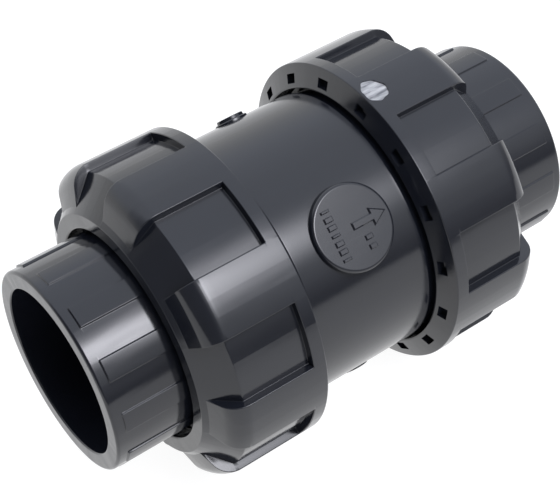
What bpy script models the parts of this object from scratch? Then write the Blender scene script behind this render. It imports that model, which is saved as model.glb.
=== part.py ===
"""Union check valve for solvent-welded pressure pipe, 50 mm socket size.

Axes: +X is the flow direction (inlet end at -X, outlet end at +X), +Z is up,
the valve lies on its side with the origin at the middle of the body on the bore axis.
Angles called "phi" are measured round the bore axis from +Z towards -Y.
Lengths in the constants are millimetres; objects are built in metres.
"""
import bpy
import bmesh
from math import cos, floor, pi, radians, sin
from mathutils import Vector

MM = 0.001

# ------------------------------------------------------------------ overall
VALVE_LENGTH = 157.0        # end face to end face
HALF = VALVE_LENGTH / 2.0

# ------------------------------------------------------------------ body
BODY_HALF_LENGTH = 45.0
BODY_R = 40.1               # visible barrel
BARREL_HALF = 19.2          # half width of the visible barrel
NECK_R = 39.0               # step that runs under each union nut
THREAD_START = 25.0         # neck ends / thread relief begins
THREAD_ROOT_R = 38.6
CHAMBER_R = 31.0
CHAMBER_HALF = 28.0
CARRIER_BORE_R = 34.0
MEDALLION_PHI = 41.5
MEDALLION_X = 0.7
MEDALLION_R = 12.4
MEDALLION_TOP = 41.5        # distance of the flat disc face from the axis
STUD_PHI = -48.4
STUD_X = 0.8
UNDER_DISC_PHI = 131.5

# ------------------------------------------------------------------ union thread
PITCH = 6.0
BODY_CREST_R = 40.5
NUT_ROOT_R = 41.0
NUT_CREST_R = 39.1
CREST_HALF = 1.0            # half width of a thread ridge at its crest
ROOT_HALF = 1.8             # half width where the ridge meets the wall
THREAD_SEGS = 26            # segments per turn
BODY_TURNS = 2.5
NUT_TURNS = 2.1

# ------------------------------------------------------------------ union nuts
NUT_FRONT = 56.3            # distances along the axis from the valve middle
NUT_WALL = 51.0
NUT_REAR = 22.8             # outer edge of the dished rear face
NUT_COLLAR = 20.4           # inner edge of the rear face, nearest the barrel
NUT_R = 48.1
NUT_HOLE_R = 32.4
NUT_POCKET_R = 45.7
NUT_CREASE = 48.0           # flat pocket floor meets the front cone
POCKET_COUNT = 8
POCKET_HALF = 12.0          # degrees
INLET_POCKET_PHI = 19.7
OUTLET_POCKET_PHI = 27.0
SLOT_COUNT = 16
SLOT_R = 43.9
SLOT_WIDE = 4.5
SLOT_TALL = 2.6
SLOT_DEEP = 1.8              # below the outer edge of the rear face

# ------------------------------------------------------------------ socket ends
SOCKET_R = 30.4
SOCKET_BORE_R = 25.0        # takes 50 mm pipe
SOCKET_STOP = 47.5          # pipe stop, 31 mm inside the end face
PORT_R = 20.0
FLANGE_R = 38.0
FLANGE_OUT = 50.7
FLANGE_FACE = 45.3
PAD_COUNT = 12
PAD_HALF = 6.0              # degrees
PAD_HEIGHT = 0.5
INLET_PAD_PHI = 17.0
OUTLET_PAD_PHI = 18.0

# ------------------------------------------------------------------ carriers
CARRIER_R = 33.7
CARRIER_IN = 28.3
CARRIER_OUT = 44.9
RADIAL_GROOVE = (34.8, 38.2, 31.0)      # from, to, floor radius
FACE_GROOVE = (25.6, 29.4, 41.6)        # inner radius, outer radius, floor
RADIAL_RING_R = 32.45
RADIAL_RING_S = 1.4
FACE_RING_R = 27.5
FACE_RING_S = 1.72
SEAT_SUM = 53.0             # 45 degree seat: radius + distance = 53

# ------------------------------------------------------------------ guide
HUB_R = 11.0
HUB_FROM = 11.0
HUB_TO = 27.0
HUB_BORE_R = 7.3
ARM_COUNT = 4
ARM_THICK = 3.6
ARM_PHI = 0.0
BUSH_R = 7.0
BUSH_BORE_R = 4.08         # running clearance on the stem
BUSH_FROM = 11.6
BUSH_TO = 26.4

# ------------------------------------------------------------------ poppet
LIFT = 14.0
SEAT_WASHER = (9.5, 10.7, 4.7, 11.6)    # from, to, inner radius, outer radius
STEM_R = 4.0
STEM_FROM = -44.2
STEM_TO = 29.6
POPPET_HOLE_R = 4.3
BOSS_R = 7.2
BOSS_END = SEAT_WASHER[0] - LIFT - 0.3   # stops just short of the washer
SPRING_LEDGE = -20.5
SEAL_RING_R = 20.6
SEAL_RING_S = 1.6
SEAL_RING_X = -30.0
NUT_FLATS = 13.0

# ------------------------------------------------------------------ spring
SPRING_R = 9.8
SPRING_WIRE_R = 0.7
SPRING_FROM = -19.5
SPRING_TO = 8.6
SPRING_TURNS = 6.5

BODY_SEGS = 48
SEGS = 36
SMALL_SEGS = 24


# ================================================================== helpers
def at(x, r, phi):
    a = radians(phi)
    return Vector((x * MM, -r * sin(a) * MM, r * cos(a) * MM))


def material(name, rgb, rough, metal=0.0):
    m = bpy.data.materials.new(name)
    m.use_nodes = True
    b = m.node_tree.nodes["Principled BSDF"]
    b.inputs["Base Color"].default_value = (rgb[0], rgb[1], rgb[2], 1.0)
    b.inputs["Roughness"].default_value = rough
    b.inputs["Metallic"].default_value = metal
    m.diffuse_color = (rgb[0], rgb[1], rgb[2], 1.0)
    return m


def tidy(me):
    bm = bmesh.new()
    bm.from_mesh(me)
    bmesh.ops.remove_doubles(bm, verts=bm.verts, dist=2e-6)
    bmesh.ops.dissolve_degenerate(bm, edges=bm.edges, dist=1e-6)
    bmesh.ops.recalc_face_normals(bm, faces=bm.faces)
    bm.to_mesh(me)
    bm.free()


def make(name, verts, faces, mat=None):
    me = bpy.data.meshes.new(name)
    me.from_pydata([tuple(v) for v in verts], [], faces)
    me.validate()
    tidy(me)
    ob = bpy.data.objects.new(name, me)
    bpy.context.scene.collection.objects.link(ob)
    if mat is not None:
        me.materials.append(mat)
    return ob


def ring_angles(n, phase=0.0):
    return [phase + 360.0 * k / n for k in range(n)]


def ring_body(name, angles, rows, mat=None):
    """Closed ring: rows are (x, r) pairs or functions of phi, going once round the section."""
    n, m = len(angles), len(rows)
    verts = []
    for row in rows:
        for phi in angles:
            x, r = row(phi) if callable(row) else row
            verts.append(at(x, r, phi))
    faces = []
    for j in range(m):
        k = (j + 1) % m
        for i in range(n):
            h = (i + 1) % n
            faces.append((j * n + i, j * n + h, k * n + h, k * n + i))
    return make(name, verts, faces, mat)


def turned_body(name, n, profile, mat=None):
    """Solid turned shape: the first and last points of the profile lie on the axis."""
    verts = [Vector((profile[0][0] * MM, 0, 0))]
    for x, r in profile[1:-1]:
        verts += [at(x, r, 360.0 * i / n) for i in range(n)]
    verts.append(Vector((profile[-1][0] * MM, 0, 0)))
    last = len(verts) - 1
    faces = []
    for i in range(n):
        faces.append((0, 1 + i, 1 + (i + 1) % n))
    for j in range(len(profile) - 3):
        a, b = 1 + j * n, 1 + (j + 1) * n
        for i in range(n):
            h = (i + 1) % n
            faces.append((a + i, a + h, b + h, b + i))
    a = 1 + (len(profile) - 3) * n
    for i in range(n):
        faces.append((a + i, a + (i + 1) % n, last))
    return make(name, verts, faces, mat)


def torus(name, x, r, s, mat, n=SEGS, m=6):
    rows = [(x + s * cos(2 * pi * k / m + pi / m), r + s * sin(2 * pi * k / m + pi / m)) for k in range(m)]
    return ring_body(name, ring_angles(n), rows, mat)


def helix_ridge(name, x0, phi0, turns, wall_r, crest_r, sink):
    """Right-handed trapezoidal thread ridge; both ends run out into the wall."""
    steps = int(round(turns * THREAD_SEGS))
    out = 1.0 if crest_r > wall_r else -1.0
    run = 6
    verts = []
    for i in range(steps + 1):
        t = i / THREAD_SEGS
        phi = phi0 + 360.0 * t
        x = x0 + PITCH * t
        k = min(1.0, (min(i, steps - i) + 0.35) / run)
        top = wall_r + (crest_r - wall_r) * k
        ch = CREST_HALF * (0.4 + 0.6 * k)
        rh = ch + (ROOT_HALF - CREST_HALF) * (abs(top - wall_r) + sink) / abs(crest_r - wall_r)
        low = wall_r - out * sink
        for xx, rr in ((x - rh, low), (x - ch, top), (x + ch, top), (x + rh, low)):
            verts.append(at(xx, rr, phi))
    faces = []
    for i in range(steps):
        a, b = 4 * i, 4 * (i + 1)
        for j in range(4):
            k = (j + 1) % 4
            faces.append((a + j, a + k, b + k, b + j))
    faces.append((0, 1, 2, 3))
    e = 4 * steps
    faces.append((e + 3, e + 2, e + 1, e))
    return make(name, verts, faces)


def combine(target, tools, operation):
    """Apply exact Booleans one after another and drop the tool objects."""
    for tool in tools:
        mod = target.modifiers.new("step", "BOOLEAN")
        mod.operation = operation
        mod.solver = "EXACT"
        mod.object = tool
        dg = bpy.context.evaluated_depsgraph_get()
        me = bpy.data.meshes.new_from_object(target.evaluated_get(dg))
        target.modifiers.clear()
        old = target.data
        target.data = me
        bpy.data.meshes.remove(old)
        bpy.data.objects.remove(tool, do_unlink=True)
    tidy(target.data)
    return target


def boxes(name, specs):
    """One mesh of separate boxes, each given as centre, half sizes and three unit axes."""
    verts, faces = [], []
    for c, h, ax in specs:
        b = len(verts)
        for sx in (-1, 1):
            for sy in (-1, 1):
                for sz in (-1, 1):
                    corner = ax[0] * (sx * h[0]) + ax[1] * (sy * h[1]) + ax[2] * (sz * h[2])
                    verts.append(c + corner * MM)
        for f in ((0, 1, 3, 2), (4, 6, 7, 5), (0, 4, 5, 1), (2, 3, 7, 6), (0, 2, 6, 4), (1, 5, 7, 3)):
            faces.append(tuple(b + i for i in f))
    me = bpy.data.meshes.new(name)
    me.from_pydata([tuple(v) for v in verts], [], faces)
    tidy(me)
    ob = bpy.data.objects.new(name, me)
    bpy.context.scene.collection.objects.link(ob)
    return ob


def axes_at(phi):
    a = radians(phi)
    return Vector((1, 0, 0)), Vector((0, -cos(a), -sin(a))), Vector((0, -sin(a), cos(a)))


def disc_lump(name, x, phi, profile, n):
    """Short turned lump standing on the barrel: profile is (radius, distance from the axis)."""
    ux, ut, un = axes_at(phi)
    verts, faces = [], []
    for r, d in profile:
        for i in range(n):
            a = 2 * pi * i / n
            across = ux * (r * cos(a)) + ut * (r * sin(a))
            verts.append((Vector((x, 0, 0)) + un * d + across) * MM)
    for j in range(len(profile) - 1):
        for i in range(n):
            h = (i + 1) % n
            faces.append((j * n + i, j * n + h, (j + 1) * n + h, (j + 1) * n + i))
    faces.append(tuple(range(n)))
    faces.append(tuple((len(profile) - 1) * n + i for i in reversed(range(n))))
    return make(name, verts, faces)


def finish(ob, origin_x, angle=35.0):
    """Smooth shading with crisp edges; origin moved along the bore axis."""
    shift = Vector((origin_x * MM, 0, 0))
    for v in ob.data.vertices:
        v.co -= shift
    ob.location = shift
    ob.data.shade_smooth()
    ob.data.set_sharp_from_angle(angle=radians(angle))
    return ob


# ================================================================== pieces
def build_body(mat):
    h, c = BODY_HALF_LENGTH, CHAMBER_HALF
    outer = [(h, 38.0), (h - 0.6, THREAD_ROOT_R), (THREAD_START + 0.5, THREAD_ROOT_R),
             (THREAD_START, NECK_R), (BARREL_HALF + 0.6, NECK_R), (BARREL_HALF, NECK_R + 0.7),
             (BARREL_HALF - 0.5, BODY_R)]
    rows = [(-x, r) for x, r in outer] + [(x, r) for x, r in reversed(outer)]
    rows += [(h, CARRIER_BORE_R), (c, CARRIER_BORE_R), (c, CHAMBER_R),
             (-c, CHAMBER_R), (-c, CARRIER_BORE_R), (-h, CARRIER_BORE_R)]
    body = ring_body("valve_body", ring_angles(BODY_SEGS), rows, mat)
    turns = BODY_TURNS
    inlet = helix_ridge("inlet_thread", -42.4, 0.0, turns, THREAD_ROOT_R, BODY_CREST_R, 0.4)
    outlet = helix_ridge("outlet_thread", 42.4 - PITCH * turns, 0.0, turns, THREAD_ROOT_R, BODY_CREST_R, 0.4)
    top = MEDALLION_TOP
    medal = disc_lump("medallion", MEDALLION_X, MEDALLION_PHI,
                      [(MEDALLION_R, 36.0), (MEDALLION_R, top - 0.7), (MEDALLION_R - 0.7, top)], 32)
    stud = disc_lump("stud", STUD_X, STUD_PHI,
                     [(5.0, 39.0), (5.0, 40.5), (4.1, 40.5), (4.0, 41.5)], 20)
    under = disc_lump("under_disc", STUD_X, UNDER_DISC_PHI, [(4.6, 39.0), (4.6, 40.4)], 20)
    combine(body, [inlet, outlet, medal, stud, under], "UNION")
    return finish(body, 0.0)


def build_nut(name, side, pocket_phi, mat):
    """side is -1 for the inlet nut, +1 for the outlet nut."""
    step = 360.0 / POCKET_COUNT
    w = 0.35
    angles = []
    for k in range(POCKET_COUNT):
        base = pocket_phi + step * k
        for a in (-POCKET_HALF - w, -POCKET_HALF + w, 0.0, POCKET_HALF - w, POCKET_HALF + w, step / 2.0):
            angles.append(base + a)

    def lobe(phi):
        d = (phi - pocket_phi + step / 2.0) % step - step / 2.0
        return abs(d) > POCKET_HALF

    def both(s, r):
        return lambda phi: (side * s, r)

    def split(lobe_sr, pocket_sr):
        def row(phi):
            s, r = lobe_sr if lobe(phi) else pocket_sr
            return side * s, r
        return row

    slope = (NUT_POCKET_R - 37.0) / (NUT_FRONT - NUT_CREASE)

    def cone(s):
        return (s, 37.0 + slope * (NUT_FRONT - s))

    rows = [both(NUT_FRONT, NUT_HOLE_R), both(NUT_FRONT, 37.0), both(*cone(55.0)),
            split((54.2, 42.0), cone(53.5)), split((51.6, 45.4), cone(51.5)),
            split((49.0, 47.3), cone(49.5)), split((46.8, NUT_R), cone(NUT_CREASE)),
            split((27.0, NUT_R), (27.0, NUT_POCKET_R)), both(26.7, NUT_R),
            both(NUT_REAR + 0.4, NUT_R), both(NUT_REAR, NUT_R - 0.4), both(NUT_COLLAR, 41.6),
            both(NUT_COLLAR, NUT_ROOT_R), both(NUT_WALL, NUT_ROOT_R), both(NUT_WALL, NUT_HOLE_R)]
    nut = ring_body(name, angles, rows, mat)
    turns = NUT_TURNS
    mid = side * 33.0
    start = mid - PITCH * turns / 2.0
    # the nut ridge runs half a pitch away from the body ridge
    body_start = -42.4 if side < 0 else 42.4 - PITCH * BODY_TURNS
    k = floor((start - body_start) / PITCH)
    offset = start - (body_start + PITCH * k)
    phi0 = 360.0 * (offset - PITCH / 2.0) / PITCH
    ridge = helix_ridge(name + "_thread", start, phi0, turns, NUT_ROOT_R, NUT_CREST_R, 0.4)
    combine(nut, [ridge], "UNION")
    specs = []
    for i in range(SLOT_COUNT):
        phi = pocket_phi + 360.0 / SLOT_COUNT * i
        ux, ut, un = axes_at(phi)
        low, high = NUT_COLLAR - 1.0, NUT_REAR + SLOT_DEEP
        c = Vector((side * (low + high) / 2.0 * MM, 0, 0)) + un * (SLOT_R * MM)
        specs.append((c, ((high - low) / 2.0, SLOT_WIDE / 2.0, SLOT_TALL / 2.0), (ux, ut, un)))
    combine(nut, [boxes("slots", specs)], "DIFFERENCE")
    return finish(nut, side * 38.0)


def build_socket_end(name, side, pad_phi, mat):
    step = 360.0 / PAD_COUNT
    w = 0.3
    angles = []
    for k in range(PAD_COUNT):
        for a in (-PAD_HALF - w, -PAD_HALF + w, PAD_HALF - w, PAD_HALF + w, 15.0):
            angles.append(pad_phi + step * k + a)

    def pad(phi):
        d = (phi - pad_phi + step / 2.0) % step - step / 2.0
        return abs(d) < PAD_HALF

    def both(s, r):
        return lambda phi: (side * s, r)

    def raised(s):
        return lambda phi: (side * s, SOCKET_R + (PAD_HEIGHT if pad(phi) else 0.0))

    rows = [both(HALF, SOCKET_BORE_R + 0.5), both(HALF, SOCKET_R - 0.6), both(HALF - 0.6, SOCKET_R),
            both(75.6, SOCKET_R), raised(75.1), raised(51.6), both(51.2, SOCKET_R),
            both(FLANGE_OUT, SOCKET_R), both(FLANGE_OUT, FLANGE_R), both(FLANGE_FACE, FLANGE_R),
            both(FLANGE_FACE, PORT_R), both(SOCKET_STOP, PORT_R), both(SOCKET_STOP, SOCKET_BORE_R - 0.1),
            both(HALF - 0.8, SOCKET_BORE_R)]
    ob = ring_body(name, angles, rows, mat)
    return finish(ob, side * HALF)


def carrier_outer(side, segs):
    g0, g1, gr = RADIAL_GROOVE
    return [(side * s, r) for s, r in (
        (CARRIER_IN, CARRIER_R - 0.6), (CARRIER_IN + 0.6, CARRIER_R), (g0, CARRIER_R), (g0, gr), (g1, gr),
        (g1, CARRIER_R), (CARRIER_OUT - 0.4, CARRIER_R), (CARRIER_OUT, CARRIER_R - 0.4),
        (CARRIER_OUT, FACE_GROOVE[1]), (FACE_GROOVE[2], FACE_GROOVE[1]), (FACE_GROOVE[2], FACE_GROOVE[0]),
        (CARRIER_OUT, FACE_GROOVE[0]))]


def build_seat_carrier(mat):
    rows = carrier_outer(-1, SEGS)
    rows += [(-CARRIER_OUT, PORT_R + 0.5), (-CARRIER_OUT + 0.5, PORT_R), (-(SEAT_SUM - PORT_R), PORT_R),
             (-CARRIER_IN, SEAT_SUM - CARRIER_IN)]
    return finish(ring_body("seat_carrier", ring_angles(SEGS), rows, mat), -36.0)


def build_guide_carrier(mat):
    rows = carrier_outer(1, SEGS)
    rows += [(CARRIER_OUT, PORT_R), (42.0, PORT_R), (38.0, 22.0), (CARRIER_IN, 28.5)]
    ring = ring_body("guide_carrier", ring_angles(SEGS), rows, mat)
    hub = ring_body("hub", ring_angles(32), [(HUB_FROM, HUB_BORE_R), (HUB_FROM, HUB_R), (HUB_TO - 2.0, HUB_R),
                                             (HUB_TO, HUB_R - 2.0), (HUB_TO, HUB_BORE_R)])
    verts, faces = [], []
    for k in range(ARM_COUNT):
        ux, ut, un = axes_at(ARM_PHI + 360.0 / ARM_COUNT * k)
        b = len(verts)
        side_view = ((13.0, HUB_R - 1.6), (24.5, HUB_R - 1.6), (39.0, 26.0), (30.0, 29.5))
        for sgn in (-1, 1):
            for x, r in side_view:
                verts.append(ux * (x * MM) + un * (r * MM) + ut * (sgn * ARM_THICK / 2.0 * MM))
        faces += [(b, b + 1, b + 2, b + 3), (b + 7, b + 6, b + 5, b + 4)]
        for i in range(4):
            j = (i + 1) % 4
            faces.append((b + i, b + 4 + i, b + 4 + j, b + j))
    arms = make("arms", verts, faces)
    combine(ring, [arms, hub], "UNION")
    return finish(ring, 36.0)


def build_poppet_cone(mat):
    rows = [(-31.8, POPPET_HOLE_R), (-31.8, 18.9), (-28.2, 18.9), (-28.2, 22.6), (-27.6, 23.1), (-25.4, 23.1),
            (-24.8, 22.6), (SPRING_LEDGE, 12.6), (SPRING_LEDGE, BOSS_R), (BOSS_END - 0.6, BOSS_R),
            (BOSS_END, BOSS_R - 0.6), (BOSS_END, POPPET_HOLE_R)]
    return finish(ring_body("poppet_cone", ring_angles(SEGS), rows, mat), -28.0)


def build_clamp_disc(mat):
    rows = [(-32.0, POPPET_HOLE_R), (-32.0, 19.2), (-33.4, 19.2), (-34.4, 18.2), (-36.0, 10.0),
            (-36.0, POPPET_HOLE_R)]
    return finish(ring_body("seal_clamp_disc", ring_angles(SEGS), rows, mat), -34.0)


def build_stem(mat):
    profile = [(STEM_FROM, 0.0), (STEM_FROM, STEM_R - 0.6), (STEM_FROM + 0.6, STEM_R),
               (STEM_TO - 1.0, STEM_R), (STEM_TO, STEM_R - 1.0), (STEM_TO, 0.0)]
    return finish(turned_body("poppet_stem", SMALL_SEGS, profile, mat), 0.0)


def washer(name, x0, x1, ri, ro, mat, n, origin):
    rows = [(x0, ri), (x0, ro), (x1, ro), (x1, ri)]
    return finish(ring_body(name, ring_angles(n), rows, mat), origin)


def build_clamp_nut(mat):
    """Hexagon nut with a round hole; corners lightly chamfered on the outer face."""
    n = SMALL_SEGS
    half = NUT_FLATS / 2.0

    def hexagon(scale, x):
        def row(phi):
            d = (phi % 60.0) - 30.0
            return x, min(half / cos(radians(d)), half * scale)
        return row

    inner, outer = -37.5, -43.0
    rows = [(inner, POPPET_HOLE_R), hexagon(1.2, inner), hexagon(1.2, outer + 0.8), hexagon(1.06, outer),
            (outer, POPPET_HOLE_R)]
    return finish(ring_body("clamp_nut", ring_angles(n), rows, mat), -40.0)


def build_spring(mat):
    per, m = 12, 5
    steps = int(SPRING_TURNS * per)
    verts, faces = [], []
    for i in range(steps + 1):
        t = i / per
        u = i / steps
        # one closed coil at each end, open coils between
        close = 1.0 / SPRING_TURNS
        pitch_close = 1.55 * SPRING_WIRE_R * 2 / 2.0
        if u < close:
            x = SPRING_FROM + pitch_close * (u / close)
        elif u > 1 - close:
            x = SPRING_TO - pitch_close * ((1 - u) / close)
        else:
            k = (u - close) / (1 - 2 * close)
            x = SPRING_FROM + pitch_close + (SPRING_TO - SPRING_FROM - 2 * pitch_close) * k
        for j in range(m):
            a = 2 * pi * j / m
            verts.append(at(x + SPRING_WIRE_R * cos(a), SPRING_R + SPRING_WIRE_R * sin(a), 360.0 * t))
    for i in range(steps):
        for j in range(m):
            k = (j + 1) % m
            faces.append((i * m + j, i * m + k, (i + 1) * m + k, (i + 1) * m + j))
    faces.append(tuple(range(m)))
    faces.append(tuple(steps * m + j for j in reversed(range(m))))
    return finish(make("return_spring", verts, faces, mat), SPRING_TO, 60.0)


# ================================================================== assembly
def clear_scene():
    for ob in list(bpy.data.objects):
        bpy.data.objects.remove(ob, do_unlink=True)
    for me in list(bpy.data.meshes):
        bpy.data.meshes.remove(me)
    for m in list(bpy.data.materials):
        bpy.data.materials.remove(m)


def build():
    clear_scene()
    pvc = (0.105, 0.118, 0.142)
    build_body(material("body_pvc", pvc, 0.3))
    build_nut("inlet_union_nut", -1, INLET_POCKET_PHI, material("inlet_nut_pvc", pvc, 0.28))
    build_nut("outlet_union_nut", 1, OUTLET_POCKET_PHI, material("outlet_nut_pvc", pvc, 0.28))
    build_socket_end("inlet_socket_end", -1, INLET_PAD_PHI, material("inlet_socket_pvc", pvc, 0.26))
    build_socket_end("outlet_socket_end", 1, OUTLET_PAD_PHI, material("outlet_socket_pvc", pvc, 0.26))
    build_seat_carrier(material("seat_carrier_pvc", pvc, 0.34))
    build_guide_carrier(material("guide_carrier_pvc", pvc, 0.34))
    build_poppet_cone(material("poppet_pvc", pvc, 0.34))
    build_clamp_disc(material("clamp_disc_pvc", pvc, 0.34))
    rubber = (0.012, 0.012, 0.013)
    ring_mid = (RADIAL_GROOVE[0] + RADIAL_GROOVE[1]) / 2.0
    face_mid = FLANGE_FACE - FACE_RING_S - 0.06
    o_rings = [("seat_carrier_o_ring", -ring_mid, RADIAL_RING_R, RADIAL_RING_S, "seat_ring_rubber"),
               ("guide_carrier_o_ring", ring_mid, RADIAL_RING_R, RADIAL_RING_S, "guide_ring_rubber"),
               ("inlet_face_o_ring", -face_mid, FACE_RING_R, FACE_RING_S, "inlet_ring_rubber"),
               ("outlet_face_o_ring", face_mid, FACE_RING_R, FACE_RING_S, "outlet_ring_rubber"),
               ("poppet_seal", SEAL_RING_X, SEAL_RING_R, SEAL_RING_S, "poppet_seal_rubber")]
    for name, x, ring_r, ring_s, mat_name in o_rings:
        finish(torus(name, x, ring_r, ring_s, material(mat_name, rubber, 0.55)), x, 80)
    steel = (0.62, 0.62, 0.60)
    build_stem(material("stem_steel", steel, 0.25, 1.0))
    washer("clamp_washer", -37.3, -36.2, 4.4, 8.0, material("washer_steel", steel, 0.3, 1.0), SMALL_SEGS, -36.8)
    build_clamp_nut(material("clamp_nut_steel", steel, 0.28, 1.0))
    bush = [(BUSH_FROM, BUSH_BORE_R), (BUSH_FROM, BUSH_R), (BUSH_TO, BUSH_R), (BUSH_TO, BUSH_BORE_R)]
    ptfe = material("bush_ptfe", (0.82, 0.82, 0.80), 0.4)
    finish(ring_body("guide_bush", ring_angles(SMALL_SEGS), bush, ptfe), 19.0)
    washer("spring_seat_washer", *SEAT_WASHER, material("seat_washer_steel", steel, 0.3, 1.0), SMALL_SEGS, 10.0)
    build_spring(material("spring_steel", (0.55, 0.55, 0.54), 0.25, 1.0))


build()
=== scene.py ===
"""Detailed pieces for the union check valve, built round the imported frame.

+X is the flow direction, +Z is up, the origin is the middle of the body on the
bore axis.  Lengths in the code are millimetres and angles are degrees unless a
name says otherwise; "phi" runs round the bore axis from +Z towards -Y, and "s"
is the distance from the middle along the axis, the same for both ends.
"""
from math import cos, hypot, pi, radians, sin, tan

import bmesh
import bpy
import numpy as np
from mathutils import Matrix, Vector


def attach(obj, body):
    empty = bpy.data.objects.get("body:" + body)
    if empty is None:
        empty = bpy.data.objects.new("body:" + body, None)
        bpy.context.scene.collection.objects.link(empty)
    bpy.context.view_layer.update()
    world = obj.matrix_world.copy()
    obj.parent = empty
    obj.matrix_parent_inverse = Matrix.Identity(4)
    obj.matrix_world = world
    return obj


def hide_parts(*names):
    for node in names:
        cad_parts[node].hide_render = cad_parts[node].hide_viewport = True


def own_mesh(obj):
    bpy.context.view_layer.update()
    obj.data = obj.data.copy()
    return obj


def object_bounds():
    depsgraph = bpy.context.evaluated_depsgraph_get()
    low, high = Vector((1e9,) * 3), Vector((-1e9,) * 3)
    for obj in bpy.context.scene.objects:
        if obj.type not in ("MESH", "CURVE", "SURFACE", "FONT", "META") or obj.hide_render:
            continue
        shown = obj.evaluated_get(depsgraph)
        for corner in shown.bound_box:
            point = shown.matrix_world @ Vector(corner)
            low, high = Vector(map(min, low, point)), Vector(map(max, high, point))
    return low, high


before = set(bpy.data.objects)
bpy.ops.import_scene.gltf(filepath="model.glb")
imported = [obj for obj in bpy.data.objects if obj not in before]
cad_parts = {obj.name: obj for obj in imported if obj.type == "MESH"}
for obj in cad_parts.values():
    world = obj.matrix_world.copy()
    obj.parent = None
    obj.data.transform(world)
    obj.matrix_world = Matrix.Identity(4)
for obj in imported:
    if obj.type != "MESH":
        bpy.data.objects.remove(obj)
cad_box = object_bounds()

MM = 0.001
WELD = 2e-6    # metres: closer vertices become one after a boolean
SLIVER = 1e-6


def around(n):
    """Angles of n columns round the axis, in degrees."""
    return np.arange(n) * 360.0 / n


def circle(n):
    """Angles of n points round a circle, in radians."""
    return np.arange(n) * 2 * pi / n


# ---------------------------------------------------------------- mesh helpers
def link(name, verts, faces):
    """New object from vertices in millimetres; faces are turned to point outwards."""
    me = bpy.data.meshes.new(name)
    me.from_pydata([tuple(v) for v in np.asarray(verts) * MM], [], faces)
    bm = bmesh.new()
    bm.from_mesh(me)
    bmesh.ops.recalc_face_normals(bm, faces=bm.faces)
    bm.to_mesh(me)
    bm.free()
    ob = bpy.data.objects.new(name, me)
    bpy.context.scene.collection.objects.link(ob)
    return ob


def polar(x, r, phi):
    """Points at those places along the axis, radii and angles."""
    a = np.radians(phi)
    return np.stack([x + 0 * r, -r * np.sin(a), r * np.cos(a)], -1)


def ring_grid(name, x, r, phi):
    """Closed ring from arrays of x, r and phi, rows round the section by columns round the axis."""
    x, r, phi = np.broadcast_arrays(x, r, phi)
    rows, cols = x.shape
    verts = polar(x, r, phi).reshape(-1, 3)
    faces = []
    for j in range(rows):
        k = (j + 1) % rows
        for i in range(cols):
            h = (i + 1) % cols
            faces.append((j * cols + i, j * cols + h, k * cols + h, k * cols + i))
    return link(name, verts, faces)


def round_corners(points, closed=True, arc=12.0):
    """Polyline of (x, r) from corners (x, r, radius), with each corner rounded."""
    out = []
    n = len(points)
    for i, p in enumerate(points):
        here = np.array(p[:2], float)
        rad = p[2] if len(p) > 2 else 0.0
        if rad <= 0 or (not closed and i in (0, n - 1)):
            out.append(here)
            continue
        a = np.array(points[i - 1][:2], float) - here
        b = np.array(points[(i + 1) % n][:2], float) - here
        la, lb = hypot(*a), hypot(*b)
        a, b = a / la, b / lb
        turn = pi - np.arccos(np.clip(a @ b, -1, 1))
        if turn < 0.02:
            out.append(here)
            continue
        cut = min(rad * tan(turn / 2), 0.49 * la, 0.49 * lb)
        rr = cut / tan(turn / 2)
        mid = (a + b) / hypot(*(a + b))
        centre = here + mid * (rr / cos(turn / 2))
        start, end = here + a * cut, here + b * cut
        steps = max(3, int(np.degrees(turn) / arc))
        v0, v1 = start - centre, end - centre
        for k in range(steps + 1):
            t = k / steps
            w0, w1 = sin((1 - t) * turn) / sin(turn), sin(t * turn) / sin(turn)
            out.append(centre + v0 * w0 + v1 * w1)
    return out


def spaced(points, longest, closed=True):
    """Adds points so that no step of a polyline is longer than the limit."""
    out = []
    n = len(points)
    for i in range(n if closed else n - 1):
        a, b = np.array(points[i], float), np.array(points[(i + 1) % n], float)
        k = max(1, int(np.ceil(hypot(*(b - a)) / longest)))
        out += [a + (b - a) * j / k for j in range(k)]
    if not closed:
        out.append(np.array(points[-1], float))
    return out


def turned(name, corners, cols=128, longest=3.0):
    """Turned ring from rounded section corners."""
    pts = np.array(spaced(round_corners(corners), longest))
    return ring_grid(name, pts[:, :1], pts[:, 1:], around(cols)[None, :])


def turned_solid(name, corners, cols=64, longest=3.0):
    """Turned solid whose section starts and ends on the axis."""
    pts = spaced(round_corners(corners, closed=False), longest, closed=False)
    middle = np.array(pts[1:-1])
    x, r, phi = np.broadcast_arrays(middle[:, :1], middle[:, 1:], around(cols)[None, :])
    grid = polar(x, r, phi).reshape(-1, 3)
    verts = np.vstack([[pts[0][0], 0, 0], grid, [pts[-1][0], 0, 0]])
    last, rows = len(verts) - 1, len(pts) - 2
    faces = []
    for i in range(cols):
        h = (i + 1) % cols
        faces.append((0, 1 + i, 1 + h))
        faces.append((1 + (rows - 1) * cols + i, 1 + (rows - 1) * cols + h, last))
        for j in range(rows - 1):
            a = 1 + j * cols
            faces.append((a + i, a + h, a + cols + h, a + cols + i))
    return link(name, verts, faces)


def swept(name, rings):
    """Closed sweep of equal sections, capped at both ends."""
    n = len(rings[0])
    verts = np.vstack(rings)
    faces = []
    for i in range(len(rings) - 1):
        a, b = n * i, n * (i + 1)
        for j in range(n):
            k = (j + 1) % n
            faces.append((a + j, a + k, b + k, b + j))
    e = n * (len(rings) - 1)
    faces.append(tuple(range(n)))
    faces.append(tuple(e + j for j in reversed(range(n))))
    return link(name, verts, faces)


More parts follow.
